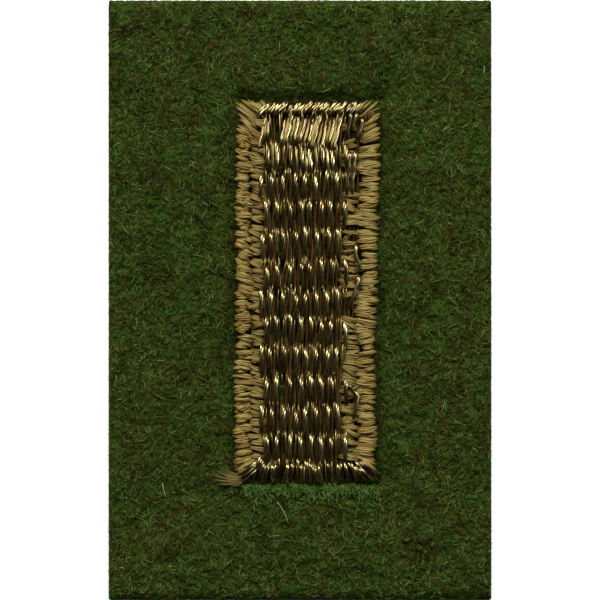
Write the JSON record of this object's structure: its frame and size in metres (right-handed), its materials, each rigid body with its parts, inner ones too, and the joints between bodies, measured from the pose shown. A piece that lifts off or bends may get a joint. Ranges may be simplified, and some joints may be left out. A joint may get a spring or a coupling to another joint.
{
  "type": "rank tab",
  "caption": "Rectangular green wool felt tab with a raised bar embroidered in gold thread and a tan satin-stitched border, for sewing to a collar or shoulder",
  "frame": {"origin": "middle of the back of the felt, on the surface that the tab lies on", "axes": "+Z out of the embroidered face, +Y towards the upper end along the longest side, +X to the right"},
  "size_m": [0.0254, 0.0398, 0.0024],
  "materials": {
    "felt": "dense green wool felt with a short curly nap",
    "tan_thread": "satin old-gold thread",
    "gold_thread": "shiny two-ply metallic gold thread",
    "bobbin_thread": "matt drab thread"
  },
  "bodies": {
    "root": {"cloth_tab": "felt", "underlay": "tan_thread", "gold_fill": "gold_thread", "left_border": "tan_thread", "right_border": "tan_thread", "top_border": "gold_thread", "bottom_border": "gold_thread", "thread_tail": "tan_thread", "bobbin_stitches": "bobbin_thread"}
  },
  "joints": []
}
